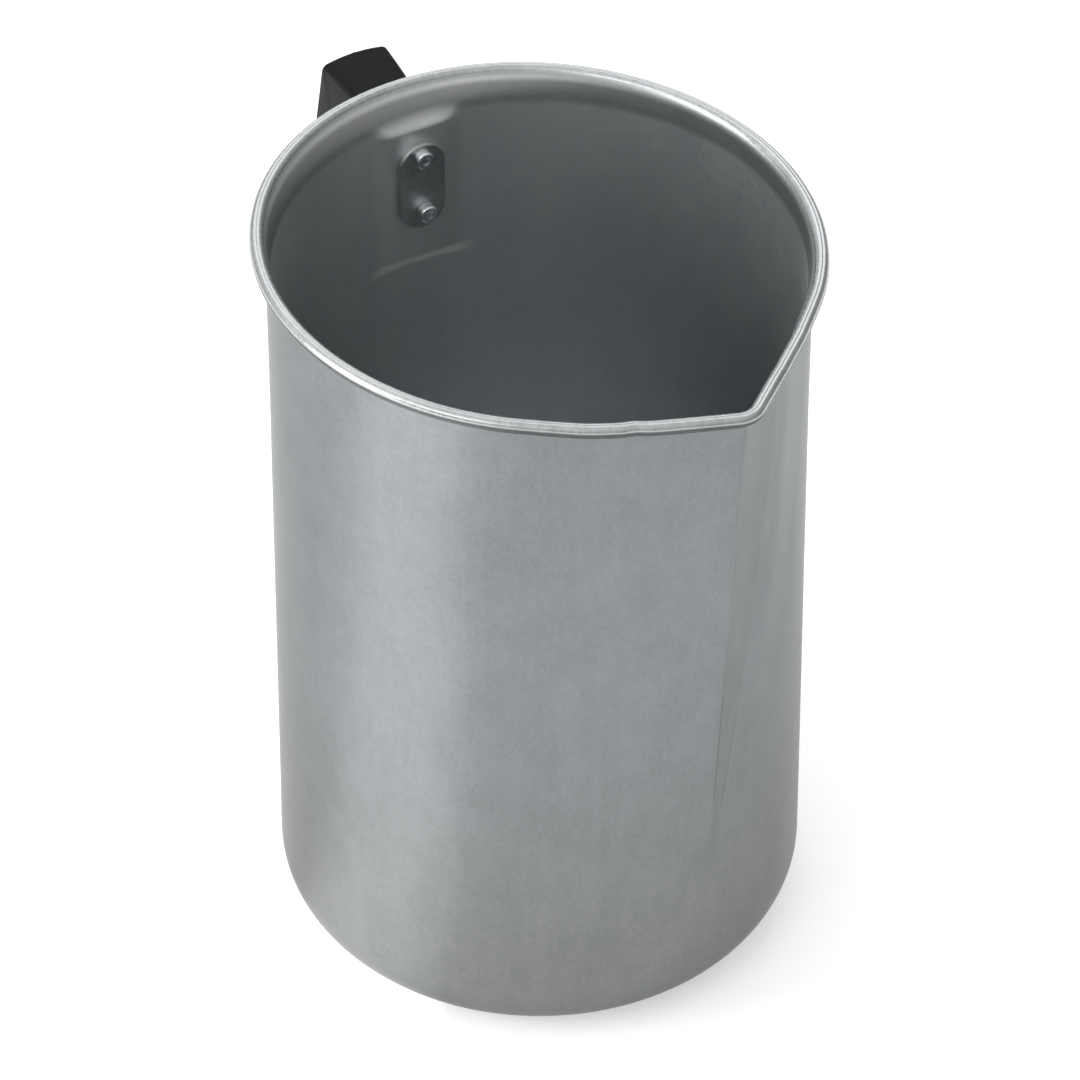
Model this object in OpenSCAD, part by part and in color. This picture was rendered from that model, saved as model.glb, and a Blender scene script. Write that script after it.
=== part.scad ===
// Candle melting pot: a tall drawn aluminium pot with a curled rim and a pressed pouring spout.
// A black moulded handle is held by a metal channel that two rivets fix to the wall.
//
// Millimetres, +Z up. The origin is the centre of the flat base, on the surface that the pot stands on.
// The handle is on the -X side. The spout is on the other side, turned a few degrees from +X towards +Y.
// Heights of everything near the handle are given as a drop, which is the distance below the top of the rim.

/* [Vessel] */
// Outside diameter of the straight wall
body_d = 131; // [120:1:150]
// Height from the base to the top of the rim
body_h = 205; // [185:1:240]
// Thickness of the aluminium sheet
sheet_t = 1.2; // [0.8:0.1:1.5]
// Outside radius of the rounded corner between the base and the wall
base_corner_r = 16; // [8:1:24]

/* [Rim] */
// Radius of the curled bead
bead_r = 1.85; // [1.5:0.05:2.4]
// Distance from the wall's outside to the middle of the bead
bead_out = 2; // [1.6:0.1:3]
// How much the rim is drawn longer along its long axis and narrower across it
rim_oval = 2.3; // [0:0.1:3.5]
// Direction of the rim's long axis, in degrees from +X towards +Y
rim_oval_angle = 18; // [0:1:30]
// How far the whole rim stands off the middle of the wall
rim_shift = 1.1; // [0:0.1:2]
// Direction that the rim stands away from, in degrees from +X towards +Y
rim_shift_angle = -20; // [-40:1:40]

/* [Spout] */
// Direction of the spout, in degrees from +X towards +Y
spout_angle = 10.4; // [0:0.1:20]
// How far the spout's tip stands out beyond the round wall
spout_out = 12.5; // [8:0.1:16]
// Outside radius of the spout's nose at the rim
spout_nose_r = 4; // [2:0.5:7]
// Radius of the rounded shoulders on both sides of the nose, at the rim
spout_shoulder_r = 48; // [40:1:56]
// How far the shoulders stand out beyond the round wall, at the rim
spout_shoulder_out = 5.4; // [2:0.1:6]
// Height above the base at which the spout's fold starts
fold_start = 44; // [30:1:90]

/* [Handle fixing] */
// How far the wall is pressed in to make the flat pad
pad_in = 1; // [0.6:0.1:1.6]
// Drop of the middle of the pad's upper edge
pad_top_drop = 8.8; // [8:0.1:12]
// Drop of the middle of the pad's lower edge
pad_bottom_drop = 51.6; // [48:0.1:58]
// Drop of the middle of the bracket and its screw
fixing_drop = 28; // [28:0.5:30]
// Width of the backing plate
plate_w = 12.5; // [11:0.1:16]
// Height of the backing plate
plate_h = 26; // [25:0.1:30]
// Thickness of the backing plate
plate_t = 1.9; // [1:0.1:2]
// How far the middle of the plate is above the middle of the bracket
plate_up = 0.8; // [0:0.1:1.5]
// Distance between the two rivets
rivet_pitch = 17.2; // [14:0.1:17.4]
// How far the middle of the two rivets is above the middle of the bracket
rivet_up = 2; // [0.5:0.1:2.5]
// How far each rivet stands to one side of the middle line
rivet_lean = 0.4; // [0:0.1:0.8]
// Radius of a rivet's shank
rivet_r = 1.6; // [1.2:0.1:2]
// Thickness of the bracket's sheet
bracket_t = 1.5; // [1:0.1:2]
// Height of the bracket
bracket_h = 33; // [30:1:33]
// Distance from the pot's axis to the end of the bracket's cheeks
bracket_reach = 78; // [76:1:80]

/* [Handle] */
// Width of the handle at its root, between the bracket's cheeks and over them
grip_w = 14.6; // [14:0.1:17]
// Width of the handle at its top corner
grip_w_top = 17.9; // [15:0.1:20]
// Width of the handle where the hand holds it
grip_w_hold = 19; // [16:0.5:24]
// Drop of the handle's top face
grip_top_drop = 10.7; // [10:0.1:11.5]
// Drop of the handle's lower end
grip_end_drop = 130; // [110:1:150]
// Radius of the handle's rounded edges
grip_edge_r = 1.4; // [1:0.1:3]
// How much the handle's back and inner side are crowned across their width
grip_crown = 1; // [0:0.1:1.5]

/* [Hidden] */

body_r = body_d / 2;
gap = 0.05;                            // radial clearance of a shank in its hole
handle_angle = 180;
flare_z = body_h - 55;                 // height at which the wall starts to follow the rim
wall_flare = 0.3;                      // how far the wall has opened out below the neck
wall_oval_share = 0.35;                // how much of the rim's oval the wall below the neck has
neck_h = 7;                            // height of the neck between the wall and the bead's middle
bead_z = body_h - bead_r;              // height of the bead's middle
neck_z = bead_z - neck_h;
neck_out = bead_out - bead_r + sheet_t;  // how far the neck opens to meet the inside of the bead
pad_x = body_r - pad_in;               // distance from the axis to the pad's outer face
plate_x = pad_x - sheet_t;             // outer face of the backing plate
web_x = pad_x + bracket_t;             // outer face of the bracket's web
fixing_z = body_h - fixing_drop;
ledge_top = 2.6;                       // half the height of the slope at the pad's upper edge
ledge_bottom = 1.2;                    // half the height of the slope at the pad's lower edge

function clamp(x) = min(1, max(0, x));
function ease(x) = let (u = clamp(x)) u * u * (3 - 2 * u);
function mix(a, b, u) = a + (b - a) * u;

// ---------------------------------------------------------------------------------------------
// Outline of the wall. An outline is described by its reach in each direction, which is how far
// its tangent line in that direction stands from the axis. A parallel outline, such as the wall's
// inside, has the same reach less the distance between the two.
// ---------------------------------------------------------------------------------------------

// Share of the spout that has been pressed out at height z
function fold(z) = clamp((z - fold_start) / (bead_z - fold_start));

// How much of the neck there is at height z: 0 on the wall, 1 at the bead
function neck(z) = pow(clamp((z - neck_z) / neck_h), 2);

// Reach of the wall without its spout. The neck's share brings it from the wall to the rim.
function wall_reach(a, z, neck_share) =
    let (
        follow = ease((z - flare_z) / (body_h - flare_z)),
        share = mix(wall_oval_share, 1, neck_share)
    )
    body_r + follow * (wall_flare + share
        * (rim_oval * cos(2 * (a - rim_oval_angle)) - rim_shift * cos(a - rim_shift_angle)));

// Reach of a disc of radius r on the spout's line, whose far edge stands "out" beyond the round wall
function disc_reach(a, r, out) = (body_r + out - r) * cos(a - spout_angle) + r;

// Reach of the spout: its nose and its shoulders
function spout_reach(a, f) =
    f <= 0 ? 0
    : max(disc_reach(a, max(0.2, spout_nose_r * f), spout_out * f),
          disc_reach(a, spout_shoulder_r, spout_shoulder_out * f));

function reach(a, z, neck_share) = max(wall_reach(a, z, neck_share), spout_reach(a, fold(z)));

// How much of the flat pad there is at height z
function pad_share(z) =
    let (
        top = body_h - pad_top_drop,
        bottom = body_h - pad_bottom_drop
    )
    min(ease((top + ledge_top - z) / (2 * ledge_top)),
        ease((z - bottom + ledge_bottom) / (2 * ledge_bottom)));

// Distance from the axis to the outline in direction a, with the outline moved in by "inset"
scan_step = 2;
scan_half = 52;
function radius_at(a, z, inset, neck_share) =
    let (
        round_r = min([for (s = [-scan_half:scan_step:scan_half])
            (reach(a + s, z, neck_share) - inset) / cos(s)]),
        off = abs(a - handle_angle),
        flat_r = off < 60 ? (pad_x - inset) / cos(off) : round_r
    )
    round_r - pad_share(z) * max(0, round_r - flat_r);

// ---------------------------------------------------------------------------------------------
// The vessel's section, as rows of [inset from the wall's outline, height, outline height, neck share]
// ---------------------------------------------------------------------------------------------

corner_steps = 5;
wall_heights = [
    fold_start,
    mix(fold_start, body_h - pad_bottom_drop, 0.36),
    mix(fold_start, body_h - pad_bottom_drop, 0.7),
    body_h - pad_bottom_drop - ledge_bottom,
    body_h - pad_bottom_drop + ledge_bottom,
    body_h - 40,
    body_h - 26,
    body_h - pad_top_drop - ledge_top,
    body_h - pad_top_drop,
    body_h - pad_top_drop + ledge_top,
    bead_z - 2
];

// Rounded corner from the flat of the base to the wall, for the surface that lies "inset" inside
function corner_rows(inset) =
    let (r = base_corner_r - inset)
    [for (k = [0:corner_steps])
        let (a = 90 * k / corner_steps)
        [base_corner_r - r * sin(a), base_corner_r - r * cos(a), base_corner_r, 0]];

function wall_rows(inset) = [for (z = wall_heights) [inset - neck_out * neck(z), z, z, neck(z)]];

// The bead is a circle that starts on its underside and ends where it meets the wall's inside
bead_start = -120;
bead_end = 165;
bead_steps = 19;
function bead_rows() =
    [for (k = [0:bead_steps])
        let (a = mix(bead_start, bead_end, k / bead_steps))
        [-bead_out - bead_r * cos(a), bead_z + bead_r * sin(a), body_h, 1]];

function reversed(list) = [for (i = [len(list) - 1:-1:0]) list[i]];

section_rows = concat(
    corner_rows(0),
    wall_rows(0),
    bead_rows(),
    reversed(wall_rows(sheet_t)),
    reversed(corner_rows(sheet_t))
);

// Directions of the mesh: close together round the spout's nose, and evenly spaced elsewhere
nose_half = 4;
nose_count = 8;
round_count = 66;
directions = concat(
    [for (k = [0:nose_count]) spout_angle - nose_half + 2 * nose_half * k / nose_count],
    [for (k = [1:round_count - 1])
        spout_angle + nose_half + (360 - 2 * nose_half) * k / round_count]
);

module pot_shell() {
    rows = len(section_rows);
    cols = len(directions);
    rings = [for (row = section_rows) for (a = directions)
        let (r = radius_at(a, row[2], row[0], row[3]))
        [r * cos(a), r * sin(a), row[1]]];
    points = concat(rings, [[0, 0, 0], [0, 0, sheet_t]]);
    base_centre = len(rings);
    floor_centre = base_centre + 1;
    sides = [for (i = [0:rows - 2]) for (j = [0:cols - 1])
        let (k = (j + 1) % cols)
        each [[i * cols + j, (i + 1) * cols + j, (i + 1) * cols + k],
              [i * cols + j, (i + 1) * cols + k, i * cols + k]]];
    base = [for (j = [0:cols - 1]) [base_centre, j, (j + 1) % cols]];
    last = (rows - 1) * cols;
    floor_faces = [for (j = [0:cols - 1]) [floor_centre, last + (j + 1) % cols, last + j]];
    color([0.66, 0.67, 0.68])
    difference() {
        polyhedron(points = points, faces = concat(sides, base, floor_faces), convexity = 6);
        rivet_holes(pad_x + 2, 6);
    }
}

// ---------------------------------------------------------------------------------------------
// Rivets and backing plate
// ---------------------------------------------------------------------------------------------

// Places of the upper and the lower rivet, as [sideways, height]
rivet_places = [for (side = [1, -1]) [-side * rivet_lean, fixing_z + rivet_up + side * rivet_pitch / 2]];
rivet_head_r = 3.2;
rivet_head_h = 1.7;
peen_r = 2.4;
peen_h = 2.7;

// Two holes along X, from distance x_out inwards
module rivet_holes(x_out, length) {
    for (place = rivet_places)
        translate([-x_out, place[0], place[1]])
        rotate([0, 90, 0])
        cylinder(r = rivet_r + gap, h = length, $fn = 32);
}

// The rivet's profile turns round the rivet's own axis. Its zero is the plate's inner face,
// with the peened end below and the factory head above.
module rivet(place) {
    grip = bracket_t + sheet_t + plate_t;
    dimple_r = 1.1;
    dimple_h = 0.7;
    edge = 0.35;
    head = [for (a = [0:15:90]) [rivet_head_r * cos(a), grip + rivet_head_h * sin(a)]];
    profile = concat(
        [[0, -peen_h + dimple_h], [dimple_r * 0.5, -peen_h + dimple_h], [dimple_r, -peen_h]],
        [[peen_r - edge, -peen_h], [peen_r, -peen_h + edge], [peen_r, 0], [rivet_r, 0], [rivet_r, grip]],
        head
    );
    color([0.72, 0.73, 0.74])
    translate([-(plate_x - plate_t), place[0], place[1]])
    rotate([0, -90, 0])
    rotate_extrude($fn = 48) polygon(profile);
}

module rivet_upper() { rivet(rivet_places[0]); }

module rivet_lower() { rivet(rivet_places[1]); }

// Upright slot shape with round ends, "w" wide and "h" high in all
module stadium(w, h) {
    square([w, h - w], center = true);
    for (s = [-1, 1])
        translate([0, s * (h - w) / 2])
        circle(d = w, $fn = 48);
}

module rivet_plate() {
    bevel = 0.4;
    color([0.5, 0.51, 0.52])
    difference() {
        translate([-plate_x, 0, fixing_z + plate_up])
        rotate([90, 0, 90])
        union() {
            linear_extrude(plate_t - bevel) stadium(plate_w, plate_h);
            linear_extrude(plate_t) stadium(plate_w - 2 * bevel, plate_h - 2 * bevel);
        }
        rivet_holes(pad_x + 2, 8);
    }
}

// ---------------------------------------------------------------------------------------------
// Bracket: a pressed channel with its web on the pad and a cheek on each side of the grip's root
// ---------------------------------------------------------------------------------------------

cheek_in = grip_w / 2 - bracket_t;
bend_r = 2.2;
screw_r = 2;
screw_x = 73.2;

function arc_points(cx, cy, r, from, to, steps) =
    [for (k = [0:steps]) let (a = from + (to - from) * k / steps) [cx + r * cos(a), cy + r * sin(a)]];

// One side of the channel's section, seen from above, from the middle of the web to the cheek's end
function half_channel(offset_out) =
    let (
        x = -(pad_x + bracket_t - offset_out),
        y = cheek_in + offset_out,
        r = bend_r - bracket_t + offset_out
    )
    concat(arc_points(x - r, y - r, r, 0, 90, 6), [[-bracket_reach, y]]);

module channel_section() {
    outer = half_channel(bracket_t);
    inner = half_channel(0);
    function flip(list) = [for (p = reversed(list)) [p[0], -p[1]]];
    polygon(concat(outer, reversed(inner), flip(reversed(inner)), flip(outer)));
}

module handle_bracket() {
    taper = 4;
    low = fixing_z - bracket_h / 2;
    high = fixing_z + bracket_h / 2;
    color([0.6, 0.61, 0.62])
    difference() {
        intersection() {
            translate([0, 0, low])
            linear_extrude(bracket_h) channel_section();
            rotate([90, 0, 0])
            linear_extrude(grip_w + 2, center = true)
            polygon([[-pad_x + 1, low], [-pad_x - 3, low], [-bracket_reach, low + taper],
                     [-bracket_reach, high - taper], [-pad_x - 3, high], [-pad_x + 1, high]]);
        }
        rivet_holes(web_x + 1, 6);
        screw_hole();
    }
}

module screw_hole() {
    translate([-screw_x, 0, fixing_z])
    rotate([90, 0, 0])
    cylinder(r = screw_r + gap, h = grip_w + 4, center = true, $fn = 32);
}

// ---------------------------------------------------------------------------------------------
// Grip: an open handle whose root fits between the bracket's cheeks. Its back and its inner side
// are two curves in the X-Z plane, as [distance from the axis, drop].
// ---------------------------------------------------------------------------------------------

root_x = bracket_reach + 0.2;
root_drop = 42;
top_corner_r = 1.5;
top_x = 99.3;
hold_x = 108;
finger_x = 93.5;

function bezier(p, t) =
    let (s = 1 - t)
    s * s * s * p[0] + 3 * s * s * t * p[1] + 3 * s * t * t * p[2] + t * t * t * p[3];

back_curve = [
    [top_x, grip_top_drop + top_corner_r],
    [top_x + 4, grip_top_drop + 23],
    [hold_x + 5, grip_end_drop * 0.55],
    [hold_x - 6.5, grip_end_drop - 6]
];
finger_upper = [
    [root_x, root_drop],
    [root_x + 9, root_drop + 1],
    [finger_x - 1, root_drop + 9],
    [finger_x, root_drop + 25]
];
finger_lower = [
    [finger_x, root_drop + 25],
    [finger_x + 0.8, root_drop + 42],
    [finger_x - 0.5, grip_end_drop - 26],
    [finger_x - 5.5, grip_end_drop - 5]
];

function corner_arc(u) =
    let (a = 90 * u)
    [top_x - top_corner_r + top_corner_r * sin(a), grip_top_drop + top_corner_r * (1 - cos(a))];

// Stations along the grip: u runs from 0 at the root to 1 at the lower end
function back_at(u) =
    u < 0.2 ? [mix(root_x, top_x - top_corner_r, u / 0.2), grip_top_drop]
    : u < 0.32 ? corner_arc((u - 0.2) / 0.12)
    : bezier(back_curve, (u - 0.32) / 0.68);
function finger_at(u) =
    u < 0.5 ? bezier(finger_upper, u / 0.5) : bezier(finger_lower, (u - 0.5) / 0.5);
function width_at(u) =
    u < 0.22 ? mix(grip_w, grip_w_top, u / 0.22)
    : mix(grip_w_top, grip_w_hold, ease((u - 0.22) / 0.4));

// One corner of a rounded rectangle of half sizes a by b, in quarter q, with corner radius r
function quarter(q, a, b, r) =
    [for (k = [0:3])
        let (
            t = 90 * q + 30 * k,
            sx = (q == 0 || q == 3) ? 1 : -1,
            sy = q < 2 ? 1 : -1
        )
        [sx * (a - r) + r * cos(t), sy * (b - r) + r * sin(t)]];

// Rounded rectangle with points along its two long faces, which are crowned by "crown"
function rounded(a, b, r, crown) =
    let (
        face_y = [for (s = [-0.5, 0, 0.5]) s * (b - r)],
        flat = concat(
            quarter(0, a, b, r),
            quarter(1, a, b, r),
            [for (y = face_y) [-a, -y]],
            quarter(2, a, b, r),
            quarter(3, a, b, r),
            [for (y = face_y) [a, y]]
        )
    )
    [for (p = flat) [p[0] - sign(p[0]) * crown * pow(p[1] / b, 2), p[1]]];

// One closed ring of the grip across the station u, shrunk by "inset" and moved on by "ahead"
function grip_ring(u, inset, ahead) =
    let (
        back = back_at(u),
        finger = finger_at(u),
        middle = (back + finger) / 2,
        span = norm(back - finger),
        out = (back - finger) / span,
        along = [-out[1], out[0]],
        centre = middle + along * ahead,
        edge = max(0.3, grip_edge_r - inset)
    )
    [for (p = rounded(span / 2 - inset, width_at(u) / 2 - inset, edge, grip_crown))
        let (q = centre + out * p[0])
        [-q[0], p[1], body_h - q[1]]];

grip_steps = 25;
end_r = 4.5;
end_steps = 3;
grip_rings = concat(
    [for (i = [0:grip_steps]) grip_ring(i / grip_steps, 0, 0)],
    [for (k = [1:end_steps])
        let (a = 90 * k / end_steps)
        grip_ring(1, end_r * (1 - cos(a)), end_r * sin(a))]
);

module grip_body() {
    count = len(grip_rings);
    ring = len(grip_rings[0]);
    points = [for (loop = grip_rings) each loop];
    sides = [for (i = [0:count - 2]) for (j = [0:ring - 1])
        let (k = (j + 1) % ring)
        each [[i * ring + j, (i + 1) * ring + j, (i + 1) * ring + k],
              [i * ring + j, (i + 1) * ring + k, i * ring + k]]];
    root = [[for (j = [0:ring - 1]) j]];
    end = [[for (j = [ring - 1:-1:0]) (count - 1) * ring + j]];
    polyhedron(points = points, faces = concat(sides, root, end), convexity = 4);
}

module handle_grip() {
    tenon_gap = 0.1;
    tenon_x = web_x + rivet_head_h + 0.6;
    tenon_w = 2 * (cheek_in - tenon_gap);
    tenon_h = bracket_h - 8;
    color([0.12, 0.12, 0.13])
    difference() {
        union() {
            grip_body();
            translate([-root_x - 1, -tenon_w / 2, fixing_z - tenon_h / 2])
            cube([root_x + 1 - tenon_x, tenon_w, tenon_h]);
        }
        screw_hole();
    }
}

// ---------------------------------------------------------------------------------------------
// Cross screw, washer and nut
// ---------------------------------------------------------------------------------------------

washer_t = 0.8;
nut_t = 3.2;
nut_flat = 7;

// Turns a profile about the screw's axis. Its zero is the pot's middle plane and it runs along +Y.
module on_screw_axis() {
    translate([-screw_x, 0, fixing_z])
    rotate([-90, 0, 0])
    children();
}

module handle_screw() {
    head_r = 3.8;
    head_h = 2.2;
    seat = -grip_w / 2;
    tip = grip_w / 2 + washer_t + nut_t + 1;
    slot_w = 1.1;
    color([0.75, 0.75, 0.76])
    on_screw_axis()
    difference() {
        rotate_extrude($fn = 48)
        polygon(concat(
            [[0, tip], [0, seat - head_h]],
            [for (a = [75:-15:0]) [head_r - 1 + cos(a), seat - head_h + 1 - sin(a)]],
            [[head_r, seat], [screw_r, seat], [screw_r, tip - 0.5], [screw_r - 0.5, tip]]
        ));
        translate([-head_r - 1, -slot_w / 2, seat - head_h - 1])
        cube([2 * head_r + 2, slot_w, 2.1]);
    }
}

module handle_washer() {
    color([0.75, 0.75, 0.76])
    on_screw_axis()
    translate([0, 0, grip_w / 2])
    difference() {
        cylinder(r = 4.4, h = washer_t, $fn = 48);
        translate([0, 0, -1])
        cylinder(r = screw_r + gap, h = washer_t + 2, $fn = 32);
    }
}

module handle_nut() {
    color([0.75, 0.75, 0.76])
    on_screw_axis()
    translate([0, 0, grip_w / 2 + washer_t])
    difference() {
        cylinder(d = nut_flat / cos(30), h = nut_t, $fn = 6);
        translate([0, 0, -1])
        cylinder(r = screw_r + gap, h = nut_t + 2, $fn = 32);
    }
}

pot_shell();
rivet_plate();
rivet_upper();
rivet_lower();
handle_bracket();
handle_grip();
handle_screw();
handle_washer();
handle_nut();
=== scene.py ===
"""Candle melting pot: the looks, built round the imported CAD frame.

Everything is in metres in the CAD's own frame: +Z up, origin at the centre of the base, handle on -X.
The vessel, the backing plate, the rivets and the grip are rebuilt finer than the CAD's facets, from nearly the
same dimensions: a few are a little smaller, which keeps them inside the CAD, and the pad's flat is narrower.
The bracket, screw, washer and nut are the CAD's own shapes with softened edges.
"""
import math

import bmesh
import bpy
import numpy as np
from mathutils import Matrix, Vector, noise


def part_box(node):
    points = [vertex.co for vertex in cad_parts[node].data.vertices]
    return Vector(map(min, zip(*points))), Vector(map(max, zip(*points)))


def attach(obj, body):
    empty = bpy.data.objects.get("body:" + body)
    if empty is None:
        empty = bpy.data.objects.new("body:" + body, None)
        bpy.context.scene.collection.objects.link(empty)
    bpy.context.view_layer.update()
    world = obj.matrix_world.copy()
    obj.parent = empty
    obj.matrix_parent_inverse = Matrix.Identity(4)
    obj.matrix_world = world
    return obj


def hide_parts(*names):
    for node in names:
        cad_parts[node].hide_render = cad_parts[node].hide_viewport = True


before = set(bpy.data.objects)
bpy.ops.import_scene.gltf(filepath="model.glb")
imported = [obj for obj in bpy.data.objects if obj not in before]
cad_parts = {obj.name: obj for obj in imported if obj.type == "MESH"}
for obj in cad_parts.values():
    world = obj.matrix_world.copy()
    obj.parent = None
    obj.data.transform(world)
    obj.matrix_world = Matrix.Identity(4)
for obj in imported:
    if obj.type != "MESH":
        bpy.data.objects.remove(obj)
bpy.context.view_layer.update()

MM = 0.001

# ---------------------------------------------------------------------------------------------
# Dimensions, in millimetres. What the frame states is read from it.
# ---------------------------------------------------------------------------------------------
plate_low, plate_high = (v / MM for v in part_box("rivet_plate"))
rivet_middles = {n: (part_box(n)[0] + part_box(n)[1]) / 2 / MM for n in ("rivet_upper", "rivet_lower")}

BODY_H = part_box("pot_shell")[1].z / MM
BODY_R = 65.5
SHEET = 1.2
CORNER_R = 16.0
BEAD_R = 1.85
BEAD_OUT = 1.95          # how far the bead's middle stands out from the wall
RIM_OVAL = 2.3           # the rim is this much longer one way than a circle, and shorter across it
RIM_OVAL_ANGLE = 18.0
RIM_SHIFT = 1.1          # and it is moved this far away from RIM_SHIFT_ANGLE
RIM_SHIFT_ANGLE = -20.0
SPOUT_ANGLE = 10.4
SPOUT_OUT = 12.5         # how far the spout's nose stands out from the wall at the rim
NOSE_R = 4.0
SHOULDER_R = 48.0        # the broad rounding on which the spout's flanks end
SHOULDER_OUT = 5.4
FOLD_START = 44.0        # height where the spout's fold begins
FLARE_Z = BODY_H - 55    # height from which the wall follows the rim's shape
WALL_FLARE = 0.3
WALL_OVAL_SHARE = 0.35   # how much of the rim's oval the wall has
BEAD_Z = BODY_H - BEAD_R
NECK_H = 7.0             # height over which the wall widens to the bead
BEAD_START, BEAD_END = -122.0, 162.0   # where the bead leaves the wall's outside and meets its inside
PAD_X = 64.5             # distance of the pad's flat from the axis
PAD_HALF_W = 7.3         # half the width of the pad's flat
PAD_SIDE_W = 6.0         # width of the slope on each side of it
PAD_TOP = BODY_H - 8.8
PAD_BOTTOM = BODY_H - 51.6
LEDGE_TOP = 2.2          # half the height of the sloped ledge above the pad
LEDGE_BOTTOM = 1.0       # and of the ledge below it
HANDLE_ANGLE = 180.0


def clamp(x):
    return np.clip(x, 0.0, 1.0)


def ease(x):
    u = clamp(x)
    return u * u * (3 - 2 * u)


def mix(a, b, u):
    return a + (b - a) * u


def cos_deg(a):
    return np.cos(np.radians(a))


# ---------------------------------------------------------------------------------------------
# Mesh helpers
# ---------------------------------------------------------------------------------------------
def new_object(name, points, faces, smooth_angle):
    """A smooth-shaded mesh object from points in millimetres."""
    mesh = bpy.data.meshes.new(name)
    mesh.from_pydata([tuple(float(c) * MM for c in p) for p in points], [], faces)
    mesh.validate()
    mesh.update()
    mesh.shade_smooth()
    mesh.set_sharp_from_angle(angle=math.radians(smooth_angle))
    obj = bpy.data.objects.new(name, mesh)
    bpy.context.scene.collection.objects.link(obj)
    return obj


def ring_faces(rows, cols):
    """Quads between rows of a grid whose columns close on themselves."""
    faces = []
    for i in range(rows - 1):
        a, b = i * cols, (i + 1) * cols
        for j in range(cols):
            k = (j + 1) % cols
            faces.append((a + j, a + k, b + k, b + j))
    return faces


SAME_POINT = 1e-6        # in metres
COPLANAR_ANGLE = 1.5     # the CAD's triangles that meet below this many degrees are joined,
SHARP_ANGLE = 32         # and its edges above this are bevelled


def softened(node, width_mm):
    """The CAD node's shape as a new mesh, with its coplanar triangles joined and its edges bevelled."""
    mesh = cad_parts[node].data.copy()
    mesh.name = node + "_visual"
    mesh.materials.clear()
    bm = bmesh.new()
    bm.from_mesh(mesh)
    bmesh.ops.remove_doubles(bm, verts=bm.verts, dist=SAME_POINT)
    bmesh.ops.dissolve_limit(bm, angle_limit=math.radians(COPLANAR_ANGLE), verts=bm.verts, edges=bm.edges)
    limit = math.radians(SHARP_ANGLE)
    sharp = [e for e in bm.edges if len(e.link_faces) == 2 and e.calc_face_angle(0) > limit]
    bmesh.ops.bevel(bm, geom=sharp, offset=width_mm * MM, offset_type="OFFSET", segments=3,
                    profile=0.5, affect="EDGES", clamp_overlap=True)
    bm.to_mesh(mesh)
    bm.free()
    mesh.shade_smooth()
    mesh.set_sharp_from_angle(angle=math.radians(35))
    obj = bpy.data.objects.new(node + "_visual", mesh)
    bpy.context.scene.collection.objects.link(obj)
    return obj


# ---------------------------------------------------------------------------------------------
# Vessel
# ---------------------------------------------------------------------------------------------
SCAN = np.arange(-52.0, 52.5, 1.0)     # degrees to each side over which radius_at looks for tangent lines


def fold(z):
    """How much of the spout there is at height z: 0 at the fold's start, 1 at the bead."""
    return float(clamp((z - FOLD_START) / (BEAD_Z - FOLD_START)))


BEAD_GROOVES = ((82.0, 8.0, 0.16), (8.0, 10.0, 0.05))      # angle, width in degrees, depth


def bead_radius(angle):
    """The bead's radius at an angle round its section: the rolling leaves shallow grooves along it."""
    depth = sum(d * math.exp(-((angle - at) / width) ** 2) for at, width, d in BEAD_GROOVES)
    return BEAD_R - depth


def bead_point(angle):
    """The bead's [inset, height] at an angle round its section."""
    r, t = bead_radius(angle), math.radians(angle)
    return -BEAD_OUT - r * math.cos(t), BEAD_Z + r * math.sin(t)


def neck(z):
    """How much of the neck there is at height z: 0 on the wall, 1 at the bead."""
    return max(0.0, (z - BEAD_Z + NECK_H) / NECK_H) ** 2


def disc_reach(a, r, out):
    """How far the tangent line in direction a of a disc, which stands out from the wall, is from the axis."""
    return (BODY_R + out - r) * cos_deg(a - SPOUT_ANGLE) + r


def reach(a, z, share_of_neck):
    """How far the wall's tangent line in direction a stands from the axis, at height z."""
    follow = ease((z - FLARE_Z) / (BODY_H - FLARE_Z))
    share = mix(WALL_OVAL_SHARE, 1.0, share_of_neck)
    oval = RIM_OVAL * cos_deg(2 * (a - RIM_OVAL_ANGLE)) - RIM_SHIFT * cos_deg(a - RIM_SHIFT_ANGLE)
    wall = BODY_R + follow * (WALL_FLARE + share * oval)
    pressed = fold(z)
    if pressed <= 0:
        return wall
    nose = disc_reach(a, max(0.2, NOSE_R * pressed), SPOUT_OUT * pressed)
    shoulders = disc_reach(a, SHOULDER_R, SHOULDER_OUT * pressed)
    return np.maximum(wall, np.maximum(nose, shoulders))


def pad_share(z):
    """How much of the pad there is at height z: 0 beyond its ledges, 1 between them."""
    return min(ease((PAD_TOP + LEDGE_TOP - z) / (2 * LEDGE_TOP)),
               ease((z - PAD_BOTTOM + LEDGE_BOTTOM) / (2 * LEDGE_BOTTOM)))


def radius_at(a, z, inset, share_of_neck):
    """Distance from the axis to the outline in each direction of the array a."""
    grid = a[:, None] + SCAN[None, :]
    round_r = np.min((reach(grid, z, share_of_neck) - inset) / cos_deg(SCAN)[None, :], axis=1)
    off = np.minimum(np.abs(a - HANDLE_ANGLE), 60)
    flat_r = (PAD_X - inset) / cos_deg(off)
    across = 1 - ease((BODY_R * np.sin(np.radians(off)) - PAD_HALF_W) / PAD_SIDE_W)
    return round_r - pad_share(z) * across * np.maximum(0, round_r - flat_r)


def directions():
    """Directions of the mesh's columns: closest together round the spout's nose."""
    steps = []
    a = 0.0
    while a < 360.0 - 1e-6:
        steps.append(SPOUT_ANGLE + a)
        off = min(a, 360 - a)
        a += 0.2 if off < 3.6 else 0.5 if off < 12 else 1.0
    return np.array(steps)


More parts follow.
